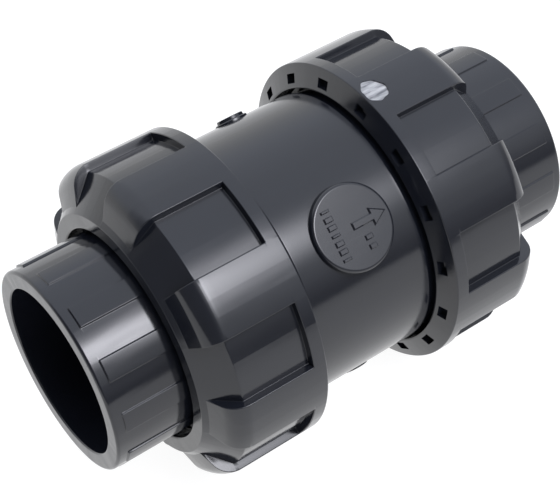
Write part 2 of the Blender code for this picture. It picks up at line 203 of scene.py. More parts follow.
def combine(target, tools, operation):
    """Boolean of the target with each tool in turn; the tools are used up."""
    for tool in tools:
        mod = target.modifiers.new("step", "BOOLEAN")
        mod.operation, mod.solver, mod.object = operation, "EXACT", tool
        graph = bpy.context.evaluated_depsgraph_get()
        me = bpy.data.meshes.new_from_object(target.evaluated_get(graph))
        target.modifiers.clear()
        target.data = me
        bpy.data.objects.remove(tool, do_unlink=True)
    bm = bmesh.new()
    bm.from_mesh(target.data)
    bmesh.ops.remove_doubles(bm, verts=bm.verts, dist=WELD)
    bmesh.ops.dissolve_degenerate(bm, edges=bm.edges, dist=SLIVER)
    bm.to_mesh(target.data)
    bm.free()
    return target


def place(ob, mat, body, nodes, sharp=32.0, second=None):
    """Shading, material, and the piece's place in the frame."""
    me = ob.data
    index = [face.material_index for face in me.polygons]
    me.materials.clear()
    me.materials.append(mat)
    if second is not None:
        me.materials.append(second)
        me.polygons.foreach_set("material_index", index)
    me.shade_smooth()
    me.set_sharp_from_angle(angle=radians(sharp))
    mod = ob.modifiers.new("even_normals", "WEIGHTED_NORMAL")
    mod.keep_sharp = True
    mod.weight = 60
    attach(ob, body)
    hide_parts(*nodes)
    return ob


def axes_at(phi):
    """Unit vectors along the axis, round it and straight out of it at that angle."""
    a = radians(phi)
    return np.array([1.0, 0, 0]), np.array([0, -cos(a), -sin(a)]), np.array([0, -sin(a), cos(a)])


def standing(name, x, phi, section, cols):
    """Round lump standing on the barrel: section is (radius, distance from the axis)."""
    ux, ut, un = axes_at(phi)
    a = circle(cols)
    spokes = np.cos(a)[:, None] * ux + np.sin(a)[:, None] * ut
    foot = np.array([x, 0, 0])
    return swept(name, [foot + un * d + r * spokes for r, d in section])


def relief(name, x, phi, outline, low, high, draft):
    """Raised outline on a flat at that place: outline is (along x, round) offsets."""
    ux, ut, un = axes_at(phi)
    pts = np.array(outline, float)
    n = len(pts)
    area = sum(pts[i][0] * pts[(i + 1) % n][1] - pts[(i + 1) % n][0] * pts[i][1] for i in range(n))
    inner = []
    for i in range(n):
        a, b = pts[i] - pts[i - 1], pts[(i + 1) % n] - pts[i]
        na, nb = np.array([-a[1], a[0]]) / hypot(*a), np.array([-b[1], b[0]]) / hypot(*b)
        if area < 0:
            na, nb = -na, -nb
        m = na + nb
        inner.append(pts[i] + m * (draft * 2 / (m @ m)))
    rings = []
    for shape, d in ((pts, low), (pts, high - draft), (np.array(inner), high)):
        rings.append(np.array([x, 0, 0]) + un * d + shape[:, :1] * ux + shape[:, 1:] * ut)
    return swept(name, rings)


# ---------------------------------------------------------------- thread
PITCH = 6.0
BODY_ROOT, BODY_CREST = 38.6, 40.5
NUT_ROOT, NUT_CREST = 41.0, 39.1
BODY_TURNS, NUT_TURNS = 2.5, 2.1
THREAD_END = 42.4
NUT_THREAD_MIDDLE = 33.0
TURN_STEPS = 60
RUN_OUT_STEPS = 14.0


def ridge(name, x0, phi0, turns, wall, crest):
    """Right-handed trapezoidal ridge with rounded crest that runs out into the wall at both ends."""
    steps = int(round(turns * TURN_STEPS))
    out = 1.0 if crest > wall else -1.0
    rings = []
    for i in range(steps + 1):
        t = i / TURN_STEPS
        k = sin(min(1.0, (min(i, steps - i) + 0.5) / RUN_OUT_STEPS) * pi / 2)
        top = (crest - wall) * k
        half = 0.4 + 0.6 * k
        foot = half + 0.8 * (abs(top) + 0.4) / abs(crest - wall)
        low = -0.4 * out
        section = [(-foot, low), (-half - 0.12, top * 0.86), (-half + 0.28, top), (half - 0.28, top),
                   (half + 0.12, top * 0.86), (foot, low)]
        xs = np.array([x0 + PITCH * t + p[0] for p in section])
        rs = np.array([wall + p[1] for p in section])
        rings.append(polar(xs, rs, np.full(len(section), phi0 + 360.0 * t)))
    return swept(name, rings)


def ridge_start(side):
    return -THREAD_END if side < 0 else THREAD_END - PITCH * BODY_TURNS


# ---------------------------------------------------------------- union nut
POCKETS = 8
POCKET_HALF = 12.0
NUT_R, POCKET_R = 48.05, 45.7
CREASE = 48.0
NOSE, NOSE_R = 56.3, 37.0
MOUTH_R, SHOULDER = 32.4, 51.0
REAR_WALL = 26.85
RIM, COLLAR, COLLAR_R = 22.8, 20.4, 41.6
SLOT_LOW, SLOT_HIGH, SLOT_DEEP = 42.6, 45.2, 2.2
SLOT_HALF = 2.83
SLOT_EDGE, SLOT_EDGE_TURN = 0.06, 0.12
WALL_ROUND_LOW, WALL_ROUND_TOP = 0.15, 0.28
WALL_LEAN = 0.05
WALL_R = 46.0    # radius at which a wall's round-offs, in mm, are turned into degrees


def nut_columns():
    """One pocket and one lobe: (angle, round offset in mm, kind, value, inside a slot)."""
    cols = []

    def wall(sign):
        part = []
        for th in (0, 30, 60, 90):
            part.append((-WALL_LEAN - WALL_ROUND_LOW * (1 - sin(radians(th))), "low", radians(th)))
        part.append((0.0, "mid", 0.5))
        for th in (0, 20, 40, 60, 90):
            part.append((WALL_LEAN + WALL_ROUND_TOP * (1 - cos(radians(th))), "top", radians(th)))
        if sign < 0:
            part.reverse()
        for u, kind, v in part:
            cols.append((sign * POCKET_HALF, sign * u, kind, v, False))

    def stretch(kind, middle, outer):
        """Floor or lobe with the middle of a slot at its own middle."""
        beside = [SLOT_HALF + SLOT_EDGE_TURN] + outer
        cols.extend((middle - a, 0.0, kind, 0.0, False) for a in reversed(beside))
        cols.extend((middle + a, 0.0, kind, 0.0, True) for a in (-SLOT_HALF, -1.0, 1.0, SLOT_HALF))
        cols.extend((middle + a, 0.0, kind, 0.0, False) for a in beside)

    wall(-1)
    stretch("floor", 0.0, [5.0, 7.2, 9.6])
    wall(1)
    stretch("lobe", 180.0 / POCKETS, [4.3, 6.1, 7.9])
    return cols


def rear_face(r):
    """The rear face is dished: the rim stands further back than the collar round the bore."""
    return COLLAR + (RIM - COLLAR) * (r - COLLAR_R) / (NUT_R - COLLAR_R)


def nut_rows():
    """Rows round the section: (s, r on a lobe, r in a pocket, share of the pocket depth, slot row)."""
    rows = []

    def turned_rows(pts, slot=False):
        for s, r in pts:
            rows.append((s, r, r, 1.0, slot))

    slope = (POCKET_R - NOSE_R) / (NOSE - CREASE)
    front = round_corners([(SHOULDER, MOUTH_R), (NOSE, MOUTH_R, 0.6), (NOSE, NOSE_R, 0.4),
                           (NOSE - 1.2, NOSE_R + 1.2 * slope)], closed=False)
    turned_rows(spaced(front, 1.6, closed=False)[1:-1])
    lobe_line = round_corners([(NOSE, NOSE_R), (NOSE - 1.3, NOSE_R + 1.3 * slope, 0.5), (51.9, NUT_R, 7.35),
                               (28.2, NUT_R)], closed=False, arc=6.5)
    lobe_line = np.array(spaced(lobe_line, 1.8, closed=False)[1:])[::-1]
    pocket_line = np.array(round_corners([(NOSE, NOSE_R), (CREASE, POCKET_R, 0.5), (20.0, POCKET_R)],
                                         closed=False))[::-1]
    stations = [v for v in lobe_line[:, 0] if v < NOSE - 1.3 and abs(v - CREASE) > 0.5]
    stations += [CREASE + v for v in (-0.42, -0.2, -0.07, 0.07, 0.2, 0.42)]
    for v in sorted(stations, reverse=True):
        on_lobe = float(np.interp(v, lobe_line[:, 0], lobe_line[:, 1]))
        in_pocket = float(np.interp(v, pocket_line[:, 0], pocket_line[:, 1]))
        rows.append((v, on_lobe, in_pocket, 1.0, False))
    depth = NUT_R - POCKET_R
    low, top = WALL_ROUND_LOW, WALL_ROUND_TOP
    for th in (0, 45, 90):
        a = radians(th)
        s = REAR_WALL + WALL_LEAN + low * (1 - sin(a))
        rows.append((s, NUT_R, POCKET_R, 1.0 - low * (1 - cos(a)) / depth, False))
    rows.append((REAR_WALL, NUT_R, POCKET_R, 0.5, False))
    for th in (0, 30, 60, 90):
        a = radians(th)
        s = REAR_WALL - WALL_LEAN - top * (1 - cos(a))
        rows.append((s, NUT_R, POCKET_R, top * (1 - sin(a)) / depth, False))
    edge = round_corners([(26.0, NUT_R), (RIM, NUT_R, 0.4), (rear_face(46.0), 46.0)], closed=False)
    turned_rows(spaced(edge, 1.5, closed=False)[1:-1])
    turned_rows([(rear_face(SLOT_HIGH + SLOT_EDGE), SLOT_HIGH + SLOT_EDGE)])
    turned_rows([(rear_face(r), float(r)) for r in np.linspace(SLOT_HIGH, SLOT_LOW, 3)], slot=True)
    back = round_corners([(rear_face(SLOT_LOW - SLOT_EDGE), SLOT_LOW - SLOT_EDGE), (COLLAR, COLLAR_R, 0.3),
                          (COLLAR, NUT_ROOT, 0.25), (SHOULDER, NUT_ROOT, 0.6), (SHOULDER, MOUTH_R, 0.3),
                          (SHOULDER + 1.0, MOUTH_R)], closed=False)
    turned_rows(spaced(back, 2.2, closed=False)[:-1])
    return rows


def wall_drop(kind, value, height, low, top):
    """How far below the lobe a column lies, on a wall of that height with rounded foot and edge."""
    if kind == "floor":
        return height
    if kind == "low":
        return height - low * (1 - cos(value))
    if kind == "mid":
        return (height - low + top) / 2
    if kind == "top":
        return top * (1 - sin(value))
    return 0.0


def union_nut(name, side, pocket_phi):
    cols, rows = nut_columns(), nut_rows()
    n = len(cols)
    x = np.zeros((len(rows), n * POCKETS))
    r = np.zeros_like(x)
    phi = np.zeros_like(x)
    for i, (s, lobe_r, pocket_r, share, slot_row) in enumerate(rows):
        height = (lobe_r - pocket_r) * share
        k = min(1.0, height / (WALL_ROUND_LOW + WALL_ROUND_TOP + 0.3)) if height > 0 else 0.0
        line = []
        for a, u, kind, value, slot in cols:
            drop = wall_drop(kind, value, height, WALL_ROUND_LOW * k, WALL_ROUND_TOP * k)
            deep = SLOT_DEEP if (slot_row and slot) else 0.0
            line.append((s + deep, lobe_r - drop, a + u * 180.0 / (pi * WALL_R)))
        line = np.array(line)
        for p in range(POCKETS):
            c = slice(p * n, (p + 1) * n)
            x[i, c], r[i, c] = side * line[:, 0], line[:, 1]
            phi[i, c] = line[:, 2] + pocket_phi + 360.0 / POCKETS * p
    ob = ring_grid(name, x, r, phi)
    start = side * NUT_THREAD_MIDDLE - PITCH * NUT_TURNS / 2.0
    offset = (start - ridge_start(side)) % PITCH
    phi0 = 360.0 * (offset - PITCH / 2.0) / PITCH
    inner = ridge(name + "_ridge", start, phi0, NUT_TURNS, NUT_ROOT, NUT_CREST)
    return combine(ob, [inner], "UNION")


GATE_AT = 27.0
GATE_ROUND, GATE_DEEP = 3.9, 0.42


def gate_mark(nut, side, phi):
    """Round facet cut off where the mould was filled; its cut faces take the second material, a pale colour
    that paints in the bright reflection seen on the facet.
    """
    ux, ut, un = axes_at(phi)
    a = circle(48)
    ragged = 1.0 + 0.05 * np.sin(3 * a + 0.6) + 0.035 * np.sin(7 * a + 2.0)
    floor = np.array([side * GATE_AT, 0, 0]) + un * (NUT_R - GATE_DEEP)
    spread = GATE_ROUND * ragged[:, None] * (0.92 * np.cos(a)[:, None] * ux + 1.08 * np.sin(a)[:, None] * ut)
    tool = swept("gate", [floor + spread, floor + 1.06 * spread + un * 2.5])
    nut = combine(nut, [tool], "DIFFERENCE")
    middle = floor * MM
    for face in nut.data.polygons:
        gap = np.array(face.center) - middle
        across = hypot(gap @ ux, gap @ ut)
        if abs(gap @ un) < 0.05 * MM and across < 1.2 * GATE_ROUND * MM:
            # faces of the cut facet get the painted highlight material
            face.material_index = 1
    return nut


# ---------------------------------------------------------------- socket end
SOCKET_R, SOCKET_BORE_R, SOCKET_FACE = 30.4, 25.1, 78.5
FLANGE_R, FLANGE_FACE, FLANGE_BACK = 38.0, 45.3, 50.7
SEAT_BORE_R, PIPE_STOP, PIPE_STOP_R = 20.0, 47.5, 24.9
PADS = 12
PAD_HALF = 6.0
PAD_FROM, PAD_TO, PAD_RISE = 51.8, 75.3, 0.5
# rounded step up to a pad: (distance from the middle of the step in mm, share of the rise)
PAD_STEP = [(-0.26, 0.0), (-0.14, 0.05), (-0.05, 0.22), (0.05, 0.78), (0.14, 0.95), (0.26, 1.0)]
PAD_STEP_R = 31.0


def socket_end(name, side, pad_phi):
    """Plain socket with shallow raised pads round it and a flange that the nut draws up."""
    cols = [(np.degrees(u / PAD_STEP_R) - PAD_HALF, v) for u, v in PAD_STEP]
    cols += [(a, 1.0) for a in (-3.0, 0.0, 3.0)]
    cols += [(PAD_HALF - np.degrees(u / PAD_STEP_R), v) for u, v in reversed(PAD_STEP)]
    cols += [(a, 0.0) for a in (9.0, 12.0, 15.0, 18.0, 21.0)]
    cols = np.array(cols)
    phi = np.concatenate([pad_phi + 360.0 / PADS * k + cols[:, 0] for k in range(PADS)])
    share = np.tile(cols[:, 1], PADS)
    front = round_corners([(70.0, SOCKET_BORE_R), (SOCKET_FACE, SOCKET_BORE_R, 0.5),
                           (SOCKET_FACE, SOCKET_R, 0.9), (76.0, SOCKET_R)], closed=False)
    rows = [(s, r, 0.0) for s, r in spaced(front, 1.3, closed=False)[1:]]
    rows += [(PAD_TO - u, SOCKET_R, v) for u, v in PAD_STEP]
    rows += [(s, SOCKET_R, 1.0) for s in np.arange(74.0, 52.4, -2.0)]
    rows += [(PAD_FROM - u, SOCKET_R, v) for u, v in reversed(PAD_STEP)]
    back = round_corners([(51.4, SOCKET_R), (FLANGE_BACK, SOCKET_R, 0.4), (FLANGE_BACK, FLANGE_R, 0.6),
                          (FLANGE_FACE, FLANGE_R, 0.5), (FLANGE_FACE, SEAT_BORE_R, 0.5),
                          (PIPE_STOP, SEAT_BORE_R, 0.3), (PIPE_STOP, PIPE_STOP_R, 0.3),
                          (70.0, SOCKET_BORE_R)], closed=False)
    rows += [(s, r, 0.0) for s, r in spaced(back, 2.2, closed=False)[1:]]
    rows = np.array(rows)
    r = rows[:, 1:2] + PAD_RISE * rows[:, 2:3] * share[None, :]
    return ring_grid(name, side * rows[:, :1], r, phi[None, :])


# ---------------------------------------------------------------- body
BARREL_HALF, BARREL_R = 19.2, 40.1
BORE_R = 31.0
MEDAL_X, MEDAL_PHI, MEDAL_R, MEDAL_TOP = 0.7, 41.5, 12.4, 41.5
STUD_X, STUD_PHI, UNDER_DISC_PHI = 0.8, -48.4, 131.5


def medallion():
    """Raised disc with the flow arrow and the scale of bars beside it."""
    top = MEDAL_TOP
    rim = [(MEDAL_R, 37.5), (MEDAL_R, top - 1.0)]
    for t in (18, 36, 54, 72, 90):
        rim.append((MEDAL_R - (1 - cos(radians(t))), top - 1.0 + sin(radians(t))))
    disc = standing("medallion", MEDAL_X, MEDAL_PHI, rim, 96)
    arrow = [(0.0, -1.15), (6.4, -1.15), (6.4, -2.75), (11.2, -0.1), (6.4, 2.6), (6.4, 1.05), (0.0, 1.05)]
    marks = [relief("arrow", MEDAL_X - 0.4, MEDAL_PHI - 0.2, arrow, top - 0.4, top + 0.52, 0.34)]
    bars = [(-5.9, -7.2 + 2.35 * i, 1.35, 0.8 if i % 3 else 0.45) for i in range(7)]
    bars += [(2.9, t, 1.2, 0.75) for t in (4.2, 6.9)]
    for x, t, half, w in bars:
        bar = [(-half, t - w), (half, t - w), (half, t + w), (-half, t + w)]
        marks.append(relief("bar", MEDAL_X + x, MEDAL_PHI, bar, top - 0.4, top + 0.46, 0.28))
    return combine(disc, marks, "UNION")


def valve_body():
    half = [(45.0, 34.0, 0.5), (45.0, 38.0, 0.4), (44.4, BODY_ROOT, 0.4), (25.6, BODY_ROOT, 0.4),
            (25.1, 39.0, 0.3), (BARREL_HALF + 0.6, 39.0, 0.3), (BARREL_HALF, BARREL_R, 0.5)]
    left = [(-p[0], p[1], p[2]) for p in reversed(half)]
    inner = [(-28.0, 34.0, 0.4), (-28.0, BORE_R, 0.4), (28.0, BORE_R, 0.4), (28.0, 34.0, 0.4)]
    body = turned("body_moulding", half + left + inner, 216, 1.6)
    stud = [(5.0, 38.5), (5.0, 40.3), (4.75, 40.55), (4.15, 40.6), (4.05, 41.35), (3.85, 41.5), (2.6, 41.5),
            (2.4, 41.15)]
    disc = [(4.6, 38.5), (4.6, 40.3), (4.4, 40.42)]
    tools = [medallion(), standing("stud", STUD_X, STUD_PHI, stud, 40),
             standing("under_disc", STUD_X, UNDER_DISC_PHI, disc, 40)]
    for side in (-1, 1):
        tools.append(ridge("ridge", ridge_start(side), 0.0, BODY_TURNS, BODY_ROOT, BODY_CREST))
    return combine(body, tools, "UNION")


# ---------------------------------------------------------------- inner pieces
CARRIER_R, CARRIER_FROM, CARRIER_TO = 33.7, 28.3, 44.9
RING_GROOVE = (34.8, 38.2, 31.0)
FACE_GROOVE = (41.6, 25.6, 29.4)
STEM_R, STEM_ROOT_R = 3.98, 3.45
HOLE_R = 4.3


def carrier_section(inner):
    """Outside of a ring carrier with its two O-ring grooves, then the inner corners given."""
    from_s, to_s, floor_r = RING_GROOVE
    face_s, low_r, high_r = FACE_GROOVE
    return [(CARRIER_FROM, CARRIER_R, 0.6), (from_s, CARRIER_R, 0.15), (from_s, floor_r, 0.25),
            (to_s, floor_r, 0.25), (to_s, CARRIER_R, 0.15), (CARRIER_TO, CARRIER_R, 0.4),
            (CARRIER_TO, high_r, 0.12), (face_s, high_r, 0.25), (face_s, low_r, 0.25),
            (CARRIER_TO, low_r, 0.12)] + inner


def seat_carrier():
    corners = carrier_section([(CARRIER_TO, 20.0, 0.5), (33.0, 20.0, 0.3), (CARRIER_FROM, 24.7, 0.2)])
    return turned("seat_ring", [(-s, r, rounding) for s, r, rounding in corners], 144)


def guide_carrier():
    """Ring with a hub for the stem on four streamlined, slanting arms."""
    corners = carrier_section([(CARRIER_TO, 20.0, 0.3), (42.0, 20.0, 2.0), (CARRIER_FROM, 28.5, 0.3)])
    ring = turned("guide_spider", corners, 144)
    hub = turned("hub", [(11.0, 7.3, 0.4), (11.0, 11.0, 0.6), (27.0, 11.0, 2.4), (27.0, 7.3, 0.4)], 72)
    # each station of an arm: distance from the axis, and where it starts and ends along it
    stations = ((9.4, 13.4, 24.2), (12.5, 15.6, 26.6), (18.0, 20.4, 31.6), (24.0, 25.6, 37.2),
                (27.5, 29.2, 40.0))
    a = circle(12)
    along = (np.sign(np.cos(a)) * np.abs(np.cos(a)) ** 0.55)[:, None]
    across = (1.75 * np.sign(np.sin(a)) * np.abs(np.sin(a)) ** 0.8)[:, None]
    arms = []
    for k in range(4):
        ux, ut, un = axes_at(90.0 * k)
        rings = []
        for r, x0, x1 in stations:
            rings.append(ux * ((x0 + x1) / 2 + (x1 - x0) / 2 * along) + un * r + ut * across)
        arms.append(swept("arm", rings))
    return combine(ring, arms + [hub], "UNION")


def poppet_cone():
    corners = [(-31.8, HOLE_R, 0.2), (-31.8, 18.9, 0.3), (-28.2, 18.9, 0.3), (-28.2, 22.7, 0.25),
               (-27.5, 23.1, 0.3), (-25.2, 23.1, 1.2), (-20.5, 12.6, 0.4), (-20.5, 7.2, 0.5),
               (-4.8, 7.2, 0.7), (-4.8, HOLE_R, 0.3)]
    return turned("cone", corners, 128, 1.6)


def clamp_disc():
    corners = [(-32.0, HOLE_R, 0.2), (-32.0, 19.2, 0.4), (-33.4, 19.2, 0.9), (-36.0, 10.6, 1.2),
               (-36.0, HOLE_R, 0.2)]
    return turned("clamp_plate", corners, 128, 1.6)


def stem():
    """Rod with the stub of its thread showing behind the clamp nut."""
    corners = [(-44.2, 0.0), (-44.2, 3.3, 0.1)]
    x = -43.9
    while x < -38.6:
        corners += [(x, STEM_R, 0.05), (x + 0.35, STEM_R, 0.05), (x + 0.7, STEM_ROOT_R, 0.08)]
        x += 1.25
    corners += [(-37.9, STEM_R, 0.1), (28.8, STEM_R, 0.6), (29.6, 3.1, 0.3), (29.6, 0.0)]
    return turned_solid("stem_rod", corners, 48)


def hex_nut():
    """Hexagon nut: the chamfers are where the flats are cut off by a smaller circle."""
    cols = 96
    phi = around(cols)
    flat = 6.5 / np.cos(np.radians((phi % 60.0) - 30.0))
    face = np.full(cols, 6.45)
    rows = [(-37.5, face)]
    for x, cap in ((-37.75, 7.15), (-38.1, 7.6), (-40.2, 7.6), (-42.4, 7.6), (-42.75, 7.15)):
        rows.append((x, np.minimum(flat, cap)))
    rows.append((-43.0, face))
    for x, r in ((-43.0, 4.75), (-42.6, HOLE_R), (-40.2, HOLE_R), (-37.9, HOLE_R), (-37.5, 4.75)):
        rows.append((x, np.full(cols, r)))
    x = np.array([[row[0]] for row in rows])
    r = np.array([row[1] for row in rows])
    return ring_grid("hex_nut", x, r, phi[None, :])


def o_ring(name, x, r, s):
    a = circle(20)
    return ring_grid(name, (x + s * np.cos(a))[:, None], (r + s * np.sin(a))[:, None], around(144)[None, :])


def washer(name, x0, x1, ri, ro):
    return turned(name, [(x0, ri, 0.15), (x0, ro, 0.3), (x1, ro, 0.15), (x1, ri, 0.25)], 72)


SPRING_R, WIRE_R = 9.8, 0.7
SPRING_FROM, SPRING_TO, SPRING_TURNS = -19.5, 8.6, 6.5


def spring():
    """Coil spring whose end turns are closed up."""
    per, m = 40, 12
    steps = int(SPRING_TURNS * per)
    close = 1.0 / SPRING_TURNS
    rise = WIRE_R * 1.55
    a = circle(m)
    rings = []
    for i in range(steps + 1):
        u = i / steps
        if u < close:
            x = SPRING_FROM + rise * u / close
        elif u > 1 - close:
            x = SPRING_TO - rise * (1 - u) / close
        else:
            x = SPRING_FROM + rise + (SPRING_TO - SPRING_FROM - 2 * rise) * (u - close) / (1 - 2 * close)
        rings.append(polar(x + WIRE_R * np.cos(a), SPRING_R + WIRE_R * np.sin(a), np.full(m, 360.0 * i / per)))
    return swept("spring_wire", rings)


# ---------------------------------------------------------------- materials
SLATE = (0.0085, 0.0098, 0.0145)
BRIGHT = (0.60, 0.60, 0.585)
WIRE_GREY = (0.50, 0.50, 0.49)
PVC_IOR = 1.54


def node(tree, kind, **values):
    """New node: a value named after a socket is linked or set there, the rest are its settings."""
    n = tree.nodes.new(kind)
    for key, value in values.items():
        if key not in n.inputs:
            setattr(n, key, value)
        elif isinstance(value, bpy.types.NodeSocket):
            tree.links.new(value, n.inputs[key])
        else:
            n.inputs[key].default_value = value
    return n


def grey(v):
    return (v, v, v, 1.0)


def ramp(tree, source, stops):
    n = node(tree, "ShaderNodeValToRGB", Fac=source)
    n.color_ramp.elements[0].position, n.color_ramp.elements[0].color = stops[0]
    n.color_ramp.elements[1].position, n.color_ramp.elements[1].color = stops[-1]
    for pos, col in stops[1:-1]:
        n.color_ramp.elements.new(pos).color = col
    return n.outputs["Color"]


def mapped(tree, source, **values):
    return node(tree, "ShaderNodeMapping", Vector=source, **values).outputs["Vector"]


def noise(tree, source, scale, detail, rough, distortion=0.0):
    n = node(tree, "ShaderNodeTexNoise", Vector=source, Scale=scale, Detail=detail, Roughness=rough,
             Distortion=distortion)
    return n.outputs["Fac"]


def bump(tree, height, strength, distance, **under):
    n = node(tree, "ShaderNodeBump", Height=height, Strength=strength, Distance=distance, **under)
    return n.outputs["Normal"]


def principled(name, **values):
    """New material with those values on its shader, its node tree, and the object's own coordinates."""
    m = bpy.data.materials.new(name)
    m.use_nodes = True
    t = m.node_tree
    for key, value in values.items():
        t.nodes["Principled BSDF"].inputs[key].default_value = value
    return m, t, t.nodes.new("ShaderNodeTexCoord").outputs["Object"]


def surface(tree, colour, normal, roughness=None):
    """Joins what was made to the tree's shader."""
    sockets = tree.nodes["Principled BSDF"].inputs
    tree.links.new(colour, sockets["Base Color"])
    tree.links.new(normal, sockets["Normal"])
    if roughness is not None:
        tree.links.new(roughness, sockets["Roughness"])


def pvc(name, rough, seed, waves=0.0):
    """Glossy injection-moulded PVC-U: faint flow marks, mould texture, fine handling scratches."""
    m, t, coords = principled(name, IOR=PVC_IOR)
    shifted = mapped(t, coords, Location=(0.013 * seed, 0.021 * seed, 0.017 * seed))
    flow = noise(t, mapped(t, shifted, Scale=(0.35, 1.0, 1.0)), 46.0, 4.0, 0.55, 0.8)
    darker, lighter = [tuple(c * k for c in SLATE) + (1.0,) for k in (0.90, 1.10)]
    streaks = mapped(t, shifted, Scale=(60.0, 1500.0, 1500.0), Rotation=(0.3 * seed, 0.5, 0.35))
    scratches = ramp(t, noise(t, streaks, 1.0, 2.0, 0.5), [(0.60, grey(0.0)), (0.74, grey(1.0))])
    clouds = ramp(t, noise(t, shifted, 70.0, 3.0, 0.6), [(0.3, grey(rough * 0.86)), (0.7, grey(rough * 1.16))])
    worn = mixed(t, 0.06, clouds, scratches, blend_type="ADD")
    under = {}
    if waves:
        sinks = noise(t, mapped(t, shifted, Scale=(0.3, 1.0, 1.0)), 75.0, 2.0, 0.5, 0.4)
        under["Normal"] = bump(t, sinks, 1.0, waves)
    texture = bump(t, noise(t, shifted, 900.0, 3.0, 0.6), 0.10, 0.00002, **under)
    surface(t, ramp(t, flow, [(0.32, darker), (0.68, lighter)]), texture, worn)
    return m


def gate_painted_highlight(name):
    """Painted highlight on the facet where the moulding sprue was cut away: pale colour standing in for the
    bright reflection there, over a rough torn bump.
    """
    m, t, coords = principled(name, Roughness=0.42, IOR=PVC_IOR)
    torn_and_glint = noise(t, mapped(t, coords, Scale=(160.0, 900.0, 900.0)), 1.0, 4.0, 0.6)
    # pale colour painted in: a painted highlight standing in for the reflection on the gate facet
    painted_glint = ramp(t, torn_and_glint, [(0.34, (0.10, 0.105, 0.12, 1.0)), (0.5, (0.30, 0.305, 0.32, 1.0)),
                          (0.66, (0.48, 0.485, 0.50, 1.0))])
    surface(t, painted_glint, bump(t, torn_and_glint, 0.5, 0.0001))
    return m


def rubber(name, seed):
    m, t, coords = principled(name, IOR=1.5)
    grain = noise(t, coords, 220.0 + 11 * seed, 5.0, 0.65)
    black = ramp(t, grain, [(0.3, (0.009, 0.009, 0.010, 1)), (0.75, (0.022, 0.022, 0.024, 1))])
    surface(t, black, bump(t, grain, 0.25, 0.00005), ramp(t, grain, [(0.3, grey(0.42)), (0.7, grey(0.62))]))
    return m


def steel(name, tint, rough, seed, lathe_rings=False):
    m, t, coords = principled(name, Metallic=1.0)
    marks = (5200.0, 60.0, 60.0) if lathe_rings else (700.0, 700.0, 700.0)
    grain = noise(t, mapped(t, coords, Scale=marks, Location=(0.01 * seed, 0.0, 0.0)), 1.0, 3.0, 0.6)
    colour = ramp(t, grain, [(0.3, tuple(c * 0.86 for c in tint) + (1.0,)), (0.7, tint + (1.0,))])
    polish = ramp(t, grain, [(0.3, grey(rough * 0.8)), (0.7, grey(rough * 1.3))])
    surface(t, colour, bump(t, grain, 0.2, 0.00002), polish)
    return m


def ptfe(name):
    m, t, coords = principled(name)
    grain = noise(t, coords, 300.0, 4.0, 0.6)
    white = ramp(t, grain, [(0.3, (0.74, 0.74, 0.71, 1)), (0.7, (0.84, 0.84, 0.82, 1))])
    surface(t, white, bump(t, grain, 0.15, 0.00003), ramp(t, grain, [(0.3, grey(0.34)), (0.7, grey(0.5))]))
    return m


def mixed(tree, share, a, b, **values):
    """Colour a with that share of b: each is another node's output or a value."""
    n = node(tree, "ShaderNodeMix", data_type="RGBA", **values)
    for source, socket in ((share, n.inputs[0]), (a, n.inputs[6]), (b, n.inputs[7])):
        if isinstance(source, bpy.types.NodeSocket):
            tree.links.new(source, socket)
        else:
            socket.default_value = source
    return n.outputs[2]


# ---------------------------------------------------------------- build
RADIAL_RING = (36.5, 32.45, 1.4)    # distance from the middle, radius of the ring, radius of its section
FACE_RING = (43.52, 27.5, 1.72)


def build_shell():
    """The outside: body, union nuts and sockets."""
    place(valve_body(), pvc("body_plastic", 0.15, 1, 0.00004), "valve", ["valve_body"])
    for end, side, pocket_phi, gate_phi, seed, waves in (("inlet", -1, 19.7, 222.7, 2, 0.00016),
                                                         ("outlet", 1, 27.0, 2.6, 3, 0.00010)):
        nut = gate_mark(union_nut(end + "_nut_shell", side, pocket_phi), side, gate_phi)
        plastic = pvc(end + "_nut_plastic", 0.15, seed, waves)
        # second material is the painted highlight on the gate facet
        place(nut, plastic, end + "_nut", [end + "_union_nut"], second=gate_painted_highlight(end + "_gate"))
    for end, side, pad_phi, rough, seed, waves in (("inlet", -1, 17.0, 0.13, 4, 0.00030),
                                                   ("outlet", 1, 18.0, 0.15, 5, 0.00022)):
        plastic = pvc(end + "_socket_plastic", rough, seed, waves)
        place(socket_end(end + "_socket", side, pad_phi), plastic, end + "_end", [end + "_socket_end"])


def build_inside():
    """Carriers, poppet and seals."""
    place(seat_carrier(), pvc("seat_plastic", 0.26, 6), "valve", ["seat_carrier"])
    place(guide_carrier(), pvc("guide_plastic", 0.28, 7), "valve", ["guide_carrier"])
    place(poppet_cone(), pvc("cone_plastic", 0.28, 8), "poppet", ["poppet_cone"])
    place(clamp_disc(), pvc("clamp_plate_plastic", 0.28, 9), "poppet", ["seal_clamp_disc"])
    x, r, s = RADIAL_RING
    place(o_ring("seat_ring_seal", -x, r, s), rubber("seat_seal_rubber", 1), "valve", ["seat_carrier_o_ring"])
    place(o_ring("guide_ring_seal", x, r, s), rubber("guide_seal_rubber", 2), "valve", ["guide_carrier_o_ring"])
    x, r, s = FACE_RING
    place(o_ring("inlet_face_seal", -x, r, s), rubber("inlet_seal_rubber", 3), "valve", ["inlet_face_o_ring"])
    place(o_ring("outlet_face_seal", x, r, s), rubber("outlet_seal_rubber", 4), "valve", ["outlet_face_o_ring"])
    place(o_ring("cone_seal", -30.0, 20.6, 1.6), rubber("cone_seal_rubber", 5), "poppet", ["poppet_seal"])


